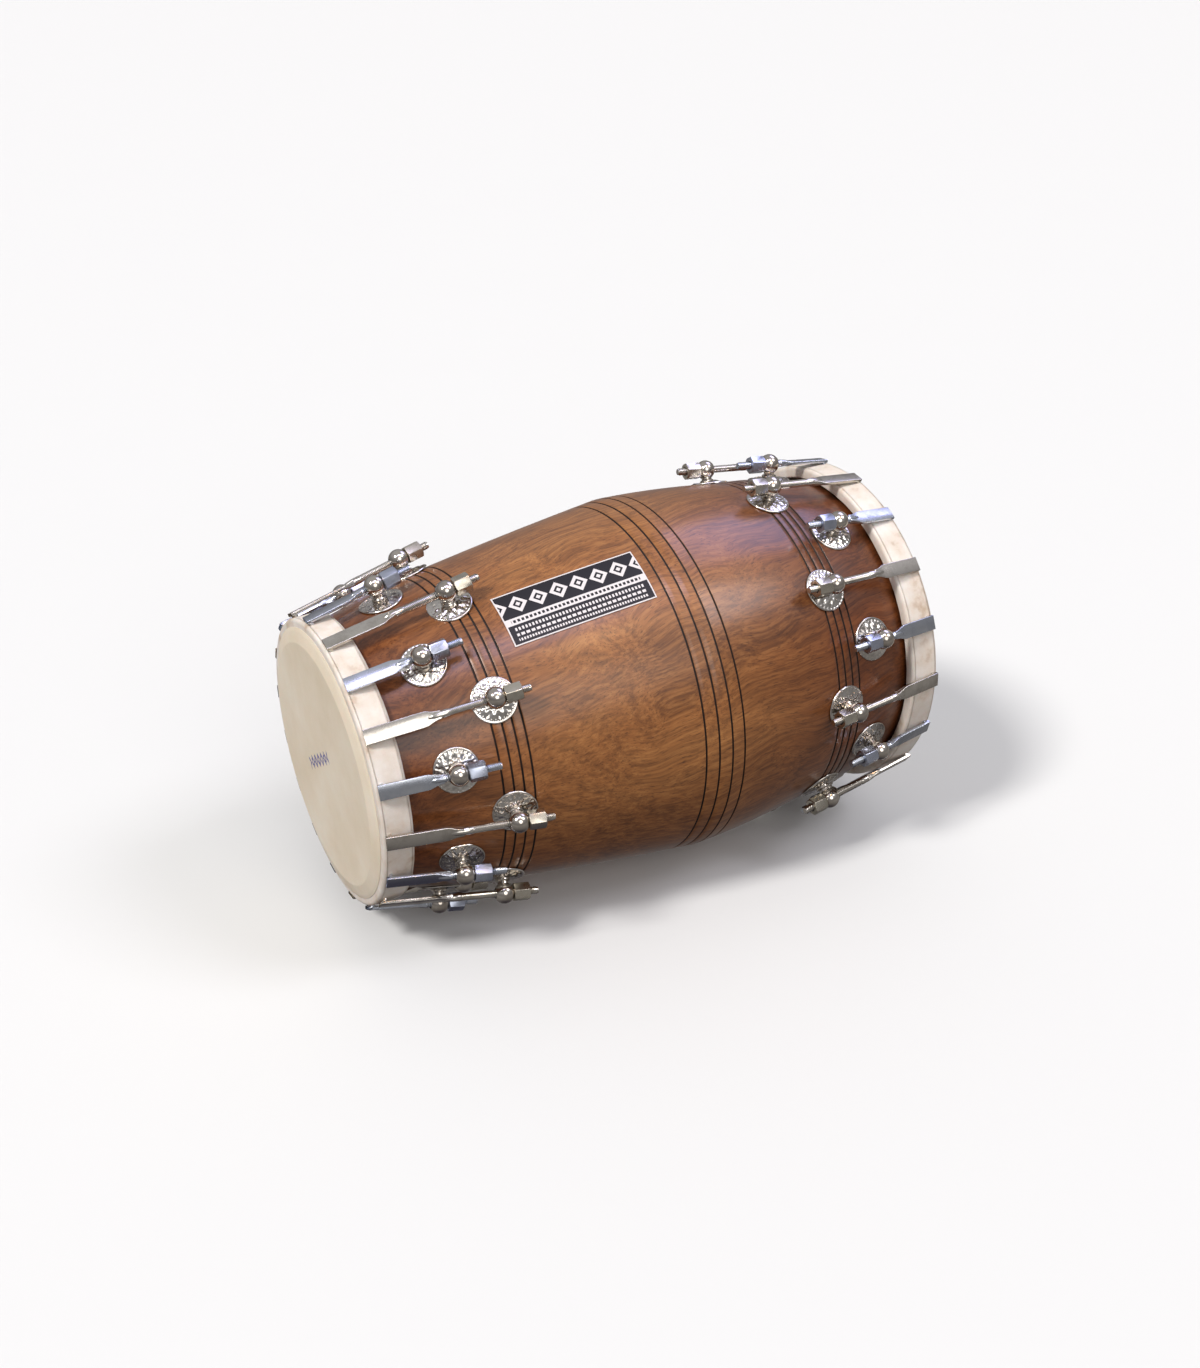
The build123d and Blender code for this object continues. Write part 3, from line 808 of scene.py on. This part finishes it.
def forged_hook(row, kind, slope, depth):
    """A hook with its ball's centre at the origin and its rod along X."""
    corner = -(depth - HOOK_SET_BACK - STRIP_THICKNESS / 2) / cos(slope)
    taper_end = -BALL_RADIUS - BARE_ROD[kind]
    strip_end = taper_end - TAPER_LENGTH
    turn = pi / 2 - slope
    tangent = BEND_RADIUS * tan(turn / 2)
    bend_start = corner + tangent
    deselect()
    bpy.ops.mesh.primitive_cube_add(size=1, location=((bend_start + strip_end) / 2, 0, 0))
    bpy.ops.transform.resize(value=(strip_end - bend_start, STRIP_WIDTH, STRIP_THICKNESS))
    hook = named(row)
    settle(hook)
    bpy.ops.object.mode_set(mode="EDIT")
    select_end(hook, 1)
    width, height = STRIP_WIDTH, STRIP_THICKNESS
    for next_width, next_height in TAPER:
        bpy.ops.mesh.extrude_region_move(
            TRANSFORM_OT_translate={"value": (TAPER_LENGTH / len(TAPER), 0, 0)})
        bpy.ops.transform.resize(value=(1, next_width * MM / width, next_height * MM / height))
        width, height = next_width * MM, next_height * MM
    select_end(hook, -1)
    bpy.ops.mesh.spin(steps=7, angle=-turn, center=(bend_start, 0, -BEND_RADIUS),
                      axis=(0, 1, 0))
    bpy.ops.mesh.extrude_region_move(TRANSFORM_OT_translate={"value": Vector(
        (-sin(slope), 0, -cos(slope))) * (HOOK_LIP - tangent)})
    bpy.ops.mesh.select_all(action="SELECT")
    bpy.ops.mesh.normals_make_consistent(inside=False)
    bpy.ops.object.mode_set(mode="OBJECT")
    apply_modifier(hook, "BEVEL", width=0.55 * MM, segments=3, limit_method="ANGLE",
                   angle_limit=radians(40))
    smooth_by_angle(hook, 50)
    # The round rod starts inside the taper, so that the two join without a step
    last = NUT_SEAT + NUT_LENGTH + ROD_PAST_NUT[kind]
    plain_end = taper_end + PLAIN_ROD[kind]
    plain = turned("plain", [
        (taper_end - 11 * MM, 0), (taper_end - 9 * MM, 0.55 * ROD_RADIUS),
        (taper_end - 5 * MM, 0.85 * ROD_RADIUS), (taper_end, ROD_RADIUS),
        (plain_end, ROD_RADIUS), (plain_end + 0.8 * MM, ROD_RADIUS - THREAD_DEPTH),
        (plain_end + 0.8 * MM, 0)], 24)
    thread = threaded_rod(plain_end, last)
    smooth_by_angle(thread, 30)
    choose([hook, plain, thread])
    bpy.ops.object.join()
    return hook


# %% The four rows of hooks
for (end, kind), members in rows.items():
    pattern = forged_hook("hook_pattern", kind, members[0].slope, members[0].depth)
    give(pattern, PLATING_OF[kind])
    made = copies(pattern, [member.matrix for member in members], f"{end}_{kind}_forged_hooks")
    discard(pattern)
    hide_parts(f"{end}_{kind}_hooks")
    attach(made, f"{end}_tension")
    print(made.name, len(made.data.polygons), "faces")

# %% [markdown]
# ## Eye bolts
# Each hook's rod passes through a hole in a ball, and the ball stands on a turned neck with a
# round base. Below the base a plain shank goes through the wall to a washer and a nut inside.
# The ball is a sphere with a hole cut along the rod and a flat cut for the tuning nut to seat
# on, and the neck, base and shank are one turned piece.

# %% Eye bolts
BALL_STAND_OFF = 14 * MM
SPOT_FACE_DEPTH = 1.6 * MM
INSIDE_WASHER = 1.5 * MM
INSIDE_NUT = 5 * MM
SHANK_PAST_NUT = 2 * MM
SHANK_END = -(BALL_STAND_OFF + SHELL_WALL - SPOT_FACE_DEPTH + INSIDE_WASHER + INSIDE_NUT
              + SHANK_PAST_NUT)
CROWN = 3 * MM
SHANK_RADIUS = 3 * MM
BASE_RADIUS = 6 * MM
NECK_RADIUS = 4.3 * MM
# The neck's top lies inside the ball, under its hole
NECK_TOP = -4.8 * MM


def bar_along_x(name, radius, first, last, sides):
    deselect()
    bpy.ops.mesh.primitive_cylinder_add(
        vertices=sides, radius=radius, depth=last - first, rotation=(0, pi / 2, 0),
        location=((first + last) / 2, 0, 0))
    piece = named(name)
    settle(piece)
    return piece


def cut(piece, tool, operation="DIFFERENCE"):
    """Cut a piece with a tool, and delete the tool."""
    apply_modifier(piece, "BOOLEAN", object=tool, operation=operation, solver="EXACT")
    discard(tool)


def eye_bolt():
    """A bolt with its ball's centre at the origin, its hole along X and its shank down Z."""
    deselect()
    bpy.ops.mesh.primitive_uv_sphere_add(segments=40, ring_count=24, radius=BALL_RADIUS)
    ball = named("ball")
    cut(ball, bar_along_x("facing", 2 * BALL_RADIUS, BALL_SEAT, 3 * BALL_RADIUS, 16))
    cut(ball, bar_along_x("hole", EYE_HOLE_RADIUS, -2 * BALL_RADIUS, 2 * BALL_RADIUS, 32))
    smooth_by_angle(ball, 40)
    top = -BALL_STAND_OFF + CROWN
    neck = turned("neck", [
        (SHANK_END, 0), (SHANK_END, SHANK_RADIUS - 0.6 * MM),
        (SHANK_END + 0.6 * MM, SHANK_RADIUS), (top, SHANK_RADIUS), (top, BASE_RADIUS - 0.2 * MM),
        (top + 0.2 * MM, BASE_RADIUS), (top + 1.3 * MM, BASE_RADIUS),
        (top + 2.0 * MM, BASE_RADIUS - 0.6 * MM), (top + 2.1 * MM, NECK_RADIUS + 0.4 * MM),
        (top + 2.5 * MM, NECK_RADIUS), (NECK_TOP, NECK_RADIUS), (NECK_TOP, 0)], 40, "Z")
    smooth_by_angle(neck, 35)
    choose([ball, neck])
    bpy.ops.object.join()
    give(ball, polished_nickel)
    return ball


pattern = eye_bolt()
for (end, kind), members in rows.items():
    made = copies(pattern, [member.matrix for member in members], f"{end}_{kind}_ball_bolts")
    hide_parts(f"{end}_{kind}_eye_bolts")
    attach(made, "shell")
    print(made.name, len(made.data.polygons), "faces")
discard(pattern)

# %% [markdown]
# ## Rosettes
# Under each bolt's base lies a thin domed washer, pressed with a flower. It is turned as a plain
# dome with close rings, and then its top is pressed in code: petals round the middle, beads near
# the rim and a rolled edge. Last it is bent to the barrel's curve, so that it lies close.

# %% Rosettes
ROSETTE_RADIUS = 17.5 * MM
ROSETTE_RIM = 1.2 * MM
ROSETTE_HOLE = 4 * MM
DOME_START = 7 * MM
DOME_RINGS = 22
PETALS = 10
BEADS = 28
# Under the rosettes, and nearly the same at both ends
BARREL_RADIUS = 135 * MM


def hump(value, low, high):
    """A smooth rise and fall between two values, and nothing outside them."""
    share = (value - low) / (high - low)
    return sin(pi * share)**2 if 0 < share < 1 else 0


def rosette():
    """A domed washer with its bolt's ball at the origin, bent over the barrel."""
    foot = -BALL_STAND_OFF
    rim = ROSETTE_RADIUS - 0.4 * MM
    top = []
    for ring in range(DOME_RINGS + 1):
        radius = ROSETTE_HOLE + (rim - ROSETTE_HOLE) * ring / DOME_RINGS
        share = max(0, (radius - DOME_START) / (ROSETTE_RADIUS - DOME_START))
        top.append((foot + CROWN - (CROWN - ROSETTE_RIM) * share, radius))
    outline = [*top, (foot + 0.9 * MM, ROSETTE_RADIUS), (foot + 0.5 * MM, ROSETTE_RADIUS),
               (foot + 0.35 * MM, rim), (foot + 0.35 * MM, ROSETTE_HOLE), top[0]]
    piece = turned("rosette", outline, 112, "Z")
    for vertex in piece.data.vertices:
        x, y, z = vertex.co
        radius = sqrt(x**2 + y**2)
        angle = atan2(y, x)
        if z > foot + 1 * MM and radius > 6.5 * MM:
            petal = abs(cos(PETALS / 2 * angle))**0.7
            inner = abs(sin(PETALS / 2 * angle))**0.7
            z += hump(radius, 7.5 * MM, 14.6 * MM) * (petal - 0.55) * 1.2 * MM
            z += hump(radius, 6.4 * MM, 10 * MM) * (inner - 0.5) * 0.6 * MM
            z += hump(radius, 13.6 * MM, 16.2 * MM) * cos(BEADS * angle) * 0.35 * MM
            z += hump(radius, 15.9 * MM, 17.4 * MM) * 0.45 * MM
        vertex.co.z = z - y**2 / (2 * BARREL_RADIUS)
    smooth_by_angle(piece, 60)
    give(piece, stamped_nickel)
    return piece


pattern = rosette()
for end in ("treble", "bass"):
    members = rows[end, "short"] + rows[end, "long"]
    made = copies(pattern, [member.matrix for member in members], f"{end}_pressed_rosettes")
    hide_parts(f"{end}_rosettes")
    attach(made, "shell")
    print(made.name, len(made.data.polygons), "faces")
discard(pattern)

# %% [markdown]
# ## Tuning nuts
# The nuts are long hexagons, turned to a cone at both ends. The hexagon is a six-sided cylinder,
# and the cones come from keeping only what also lies inside a turned barrel. Each nut was left at
# its own angle when the drum was tuned, and each one is a piece of its own, because each turns.

# %% Tuning nuts
NUT_FLATS = 12.8 * MM
NUT_CHAMFER = 1 * MM
NUT_BORE_RADIUS = 3.65 * MM
NUT_TURN = radians(23)


def tuning_nut():
    """A long hexagon nut in its place along a rod that runs through the origin."""
    corner = NUT_FLATS / sqrt(3)
    first, last = NUT_SEAT, NUT_SEAT + NUT_LENGTH
    nut = bar_along_x("nut", corner, first, last, 6)
    face, cone = corner - 1.3 * NUT_CHAMFER, 0.8 * NUT_CHAMFER
    around = corner + 0.01 * MM
    barrel = turned("barrel", [(first, 0), (first, face), (first + cone, around),
                               (last - cone, around), (last, face), (last, 0)], 48)
    cut(nut, barrel, "INTERSECT")
    cut(nut, bar_along_x("bore", NUT_BORE_RADIUS, first - MM, last + MM, 32))
    apply_modifier(nut, "BEVEL", width=0.22 * MM, segments=2, limit_method="ANGLE",
                   angle_limit=radians(24))
    smooth_by_angle(nut, 22)
    return nut


pattern = tuning_nut()
NUT_FINISH = {"short": (zinc_nut, "zinc_nut"), "long": (nickel_nut, "nickel_nut")}
for hook in hooks:
    turn = Matrix.Rotation(NUT_TURN * (hook.number - 1), 4, "X")
    made = copies(pattern, [hook.matrix @ turn], f"{hook.node}_hexagon")
    finish, slot = NUT_FINISH[hook.kind]
    give(made, finish)
    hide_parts(hook.node)
    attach(made, hook.body)
discard(pattern)
print("nuts", len(hooks), "faces each", len(made.data.polygons))

# %% [markdown]
# ## The maker's plate
# A printed foil is glued on the shell. It is a flat grid whose points are laid on the barrel by
# their length and their arc, so its printed pattern isn't stretched, and Solidify gives the foil
# its thickness. The print is a plain design of its own, read from the foil's own UV map.

# %% Plate
PLATE_PLACE = 188.5 * MM
PLATE_ANGLE = radians(60.4)
PLATE_SIZE = (115 * MM, 46 * MM)
PLATE_GAP = 0.35 * MM
FOIL_THICKNESS = 0.45 * MM

deselect()
bpy.ops.mesh.primitive_grid_add(x_subdivisions=46, y_subdivisions=20, size=1)
plate = named("printed_plate")
for vertex in plate.data.vertices:
    along = PLATE_PLACE + vertex.co.x * PLATE_SIZE[0]
    radius = shell_radius(along) + PLATE_GAP
    angle = PLATE_ANGLE + vertex.co.y * PLATE_SIZE[1] / radius
    vertex.co = (along, -radius * cos(angle), radius * sin(angle))
choose([plate])
edit_vertices()
bpy.ops.mesh.select_all(action="SELECT")
bpy.ops.mesh.normals_make_consistent(inside=False)
bpy.ops.object.mode_set(mode="OBJECT")
apply_modifier(plate, "SOLIDIFY", thickness=FOIL_THICKNESS, offset=1)
bpy.ops.object.shade_smooth()
smooth_by_angle(plate, 40)
print(plate.name, len(plate.data.polygons), "faces")

# %% [markdown]
# ## The print
# The plate is printed black on pale foil: a band of lozenges above rows of short bars that stand
# for lines of writing. Each shape is a mask worked out from the foil's width and height, and the
# masks are joined by taking the largest.

# %% Print
# All in millimetres from the foil's lower left corner
BORDER = 1.0
LOZENGE_LINE = 33.5
LOZENGE_BAND = (24.0, 43.0)
LOZENGE_PITCH = 16.4
LOZENGE_HEIGHT = 17.2
LOZENGE_RING = (0.5, 0.92)
LOZENGE_HEART = (0, 0.24)
MIDDLE_BAND = (16.6, 22.6)
BAR_SPAN = (5.0, 110.0)
# Each row of bars: its low and high edge, the bars' pitch, and the bars' share of it
DARK_BARS = (18.4, 20.8, 3.3, 0.62)
PALE_BARS = ((11.6, 14.2, 2.7, 0.55), (7.2, 9.4, 4.1, 0.7), (3.2, 5.2, 2.2, 0.6))

printed, tree, shader = new_material("printed_foil")
uv = add_node(tree, "SeparateXYZ", {0: add_node(tree, "TexCoord").outputs["UV"]})
long, high = (side / MM for side in PLATE_SIZE)
width, height = (
    add_node(tree, "Math", {0: uv.outputs[axis], 1: side},
             operation="MULTIPLY").outputs[0] for axis, side in (("X", long), ("Y", high)))


def bars(low, high, pitch, share):
    saw = add_node(tree, "Math", {0: width, 1: pitch}, operation="MODULO").outputs[0]
    return overlap(tree, between(tree, saw, 0, pitch * share),
                   between(tree, height, low, high), between(tree, width, *BAR_SPAN))


lift = add_node(tree, "Math", {0: height, 1: LOZENGE_LINE}, operation="SUBTRACT")
lozenge = lozenges(tree, width, lift.outputs[0], LOZENGE_PITCH, LOZENGE_HEIGHT)
inside = overlap(tree, between(tree, width, BORDER, long - BORDER),
                 between(tree, height, BORDER, high - BORDER))
white, middle = (
    add_node(tree, "Math", {0: whole, 1: part}, operation="SUBTRACT").outputs[0]
    for whole, part in ((1.0, inside), (between(tree, height, *MIDDLE_BAND), bars(*DARK_BARS))))
ornament = [overlap(tree, between(tree, lozenge, *part), between(tree, height, *LOZENGE_BAND))
            for part in (LOZENGE_RING, LOZENGE_HEART)]
for shape in (middle, *ornament, *(bars(*row) for row in PALE_BARS)):
    white = add_node(tree, "Math", {0: white, 1: shape}, operation="MAXIMUM").outputs[0]
print_colour = add_node(tree, "Mix", {
    FACTOR: white, UNDER: linear("#17151A"), OVER: linear("#DCD6D8")}, data_type="RGBA")
feed(tree, shader, {"Base Color": print_colour.outputs[MIXED], "Roughness": 0.5,
                    "Specular IOR Level": 0.35})
give(plate, printed)
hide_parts("maker_plate")
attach(plate, "shell")
print(printed.name, len(tree.nodes), "nodes")

# %% [markdown]
# ## What stays as engineered
# The hoops inside the collars, the washers and nuts inside the shell, and the tuning paste under
# the bass hide already have their right shape, so they only get a finish.

# %% Finishes for the engineered nodes
GRIT_SIZE = 3.33 * MM

paste, tree, shader = new_material("tuning_paste")
place = add_node(tree, "TexCoord").outputs["Object"]
grit = add_node(tree, "TexNoise", {"Vector": place, "Scale": 1 / GRIT_SIZE, "Detail": 4.0})
colour = add_node(tree, "ValToRGB", {0: grit.outputs["Fac"]})
set_ramp(colour, [(0.35, "#1B1715"), (0.7, "#332B26")])
bump = add_node(tree, "Bump", {
    "Height": grit.outputs["Fac"], "Strength": 0.4, "Distance": 0.4 * MM})
feed(tree, shader, {"Base Color": colour.outputs[0], "Normal": bump.outputs[0],
                    "Roughness": 0.75})

for name, piece in frame["nodes"].items():
    if not piece.hide_render:
        give(piece, paste if name.endswith("paste") else mill_steel)
        print("kept", name)

# %% [markdown]
# ## The floor
# The drum rests on the lowest nuts of its two ends. They stand at different heights, because one
# end is wider, so the floor is leant against them: the line that touches both rows from below.

# %% Floor
FLOOR_SIZE = 160
FLOOR_MIDDLE = 250 * MM
FLOOR_GAP = 0.2 * MM
SEARCH_BELOW = -80 * MM
SEARCH_ROUNDS = 4


def lowest_line(points):
    """Slope and height at x = 0 of the line that touches points at both ends from below."""
    middle = DRUM_LENGTH / 2
    left = [point for point in points if point[0] < middle]
    right = [point for point in points if point[0] >= middle]
    here, there = min(left, key=lambda p: p[1]), min(right, key=lambda p: p[1])
    for _ in range(SEARCH_ROUNDS):
        here = max(left, key=lambda p: (there[1] - p[1]) / (there[0] - p[0]))
        there = min(right, key=lambda p: (p[1] - here[1]) / (p[0] - here[0]))
    slope = (there[1] - here[1]) / (there[0] - here[0])
    return slope, here[1] - slope * here[0]


points = []
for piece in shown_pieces():
    points += [(vertex.co.x, vertex.co.z) for vertex in piece.data.vertices
               if vertex.co.z < SEARCH_BELOW]
slope, height = lowest_line(points)
print("floor slope", round(slope, 4), "height", round(height, 4))

deselect()
bpy.ops.mesh.primitive_plane_add(size=FLOOR_SIZE)
floor = named("floor")
floor_height = height + slope * FLOOR_MIDDLE - FLOOR_GAP
floor.matrix_world = (Matrix.Translation((FLOOR_MIDDLE, 0, floor_height))
                      @ Matrix.Rotation(-atan2(slope, 1), 4, "Y"))
paper, tree, shader = new_material("pale_studio_paper")
feed(tree, shader, {"Base Color": linear("#E2E3E4"), "Roughness": 0.9,
                    "Specular IOR Level": 0.1})
give(floor, paper)
# The drum's polish and its underside see the studio's dark lower half, not the white paper
floor.visible_glossy = False
floor.visible_diffuse = False

# %% [markdown]
# ## Lights and sky
# Three soft suns light the drum: a strong one from the treble side, which throws the shadow to
# the right, and two weaker ones that fill it. A sun has no place, so the light is the same from
# every side. Three panels add the long highlights that varnish shows under a studio's lamps.

# %% Lights
def lamp(name, kind, power, colour, towards):
    """A light that shines from a direction."""
    data = bpy.data.lights.new(name, kind)
    data.energy = power
    data.color = linear(colour)[:3]
    light = bpy.data.objects.new(name, data)
    bpy.context.scene.collection.objects.link(light)
    light.rotation_euler = towards.to_track_quat("Z", "Y").to_euler()
    return light


def sun(name, azimuth, elevation, softness, strength, colour):
    """A sun at an azimuth, where 0 is the front (-Y) and 90 is +X, and an elevation."""
    azimuth, elevation = radians(azimuth), radians(elevation)
    towards = Vector((sin(azimuth) * cos(elevation), -cos(azimuth) * cos(elevation),
                      sin(elevation)))
    lamp(name, "SUN", strength, colour, towards).data.angle = radians(softness)


def panel(name, place, target, size, power, colour):
    """A soft panel that only glossy surfaces see, for the long highlights."""
    light = lamp(name, "AREA", power, colour, Vector(place) - Vector(target))
    light.location = place
    light.data.shape = "RECTANGLE"
    light.data.size, light.data.size_y = size
    light.visible_diffuse = False


sun("key_left", -74, 50, 12, 2.3, "#FFFBF6")
sun("key_right", 50, 48, 22, 0.8, "#FBF8FF")
sun("front_fill", -5, 30, 35, 0.7, "#FFFCF8")
panel("cool_panel_right", (1.4, 0.4, 1.45), (0.35, 0, 0.1), (0.9, 0.8), 9, "#C4C4FF")
panel("cool_panel_left", (0.1, -0.5, 1.6), (0.13, -0.05, 0.1), (0.9, 0.35), 7, "#DCD6FF")
panel("warm_lamp", (0.43, -0.85, 1.4), (0.23, -0.1, 0.1), (0.14, 0.14), 1.6, "#FFC890")
print("lights", len(bpy.data.lights))

# %% Sky
sky = bpy.data.worlds.new("studio")
bpy.context.scene.world = sky
sky.use_nodes = True
tree = sky.node_tree
direction = add_node(tree, "TexCoord").outputs["Generated"]
upward = add_node(tree, "SeparateXYZ", {0: direction}).outputs["Z"]
share = add_node(tree, "MapRange", {"Value": upward, "From Min": -1.0})
heaven = add_node(tree, "ValToRGB", {0: share.outputs[0]})
# The studio's walls are darker than its ceiling, and polished metal shows both
set_ramp(heaven, [(0.0, "#5A5560"), (0.12, "#A29E9C"), (0.4, "#CBC7C4"), (0.5, "#B4B1B0"),
                  (0.62, "#C2C0C2"), (0.78, "#F6F5FA"), (1.0, "#FFFFFF")])
feed(tree, tree.nodes["Background"], {"Color": heaven.outputs[0], "Strength": 0.5})
bpy.context.scene.view_settings.view_transform = "Standard"
